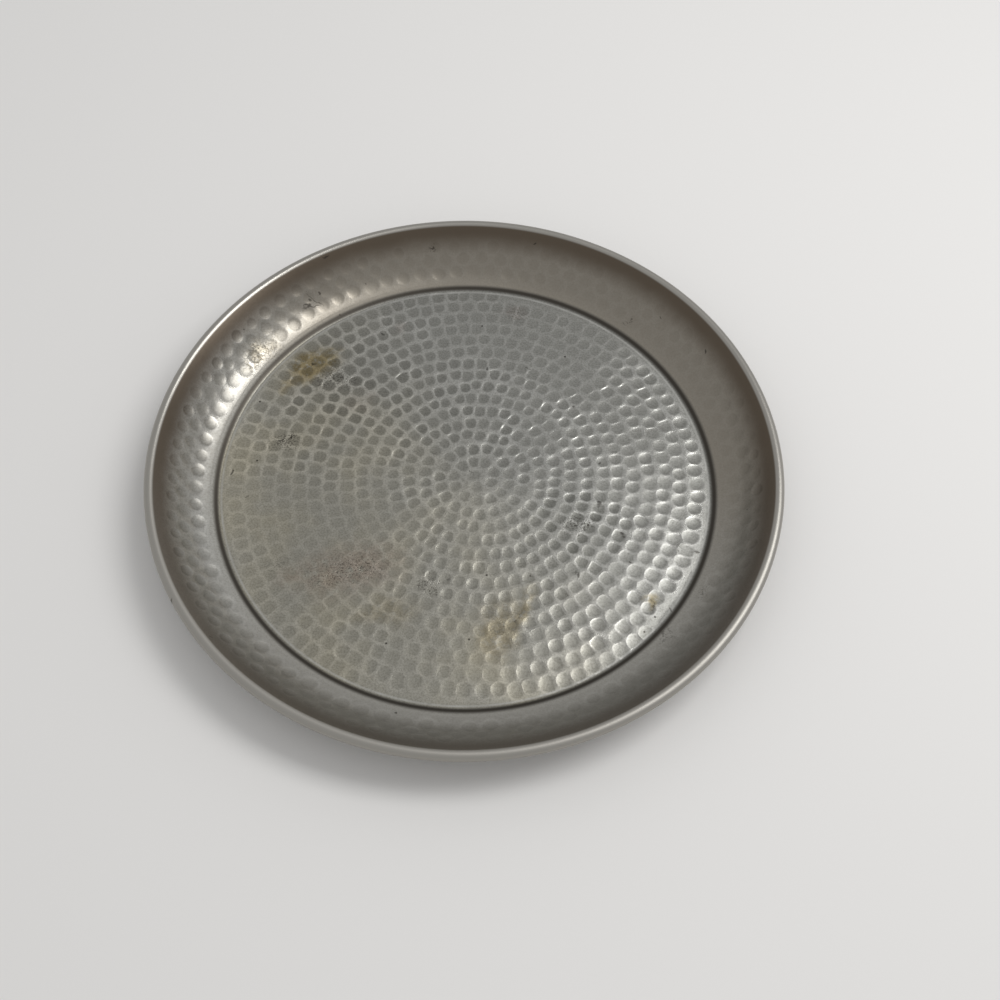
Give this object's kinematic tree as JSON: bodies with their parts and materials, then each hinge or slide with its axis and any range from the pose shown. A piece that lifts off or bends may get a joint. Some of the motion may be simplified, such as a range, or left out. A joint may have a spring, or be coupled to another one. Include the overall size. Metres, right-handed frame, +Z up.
{
  "type": "round serving tray",
  "caption": "Round hammered aluminium serving tray: flat floor inside a low riser, coved border that flares outwards, and an edge rolled over a stiffening wire.",
  "frame": {"origin": "centre of the flat underside, on the tray's axis", "axes": "+Z up along the tray's axis; the tray is round, so X and Y are set by the picture, which looks along +Y and down"},
  "size_m": [0.3562, 0.3562, 0.0282],
  "materials": {
    "hammered_aluminium": "satin sheet aluminium, hammered on the floor and border, worn, with brown stains and dark specks",
    "rim_wire_steel": "dull drawn steel wire, hidden in the rolled edge"
  },
  "bodies": {
    "root": {"tray_sheet": "hammered_aluminium", "rim_wire": "rim_wire_steel"}
  },
  "joints": []
}
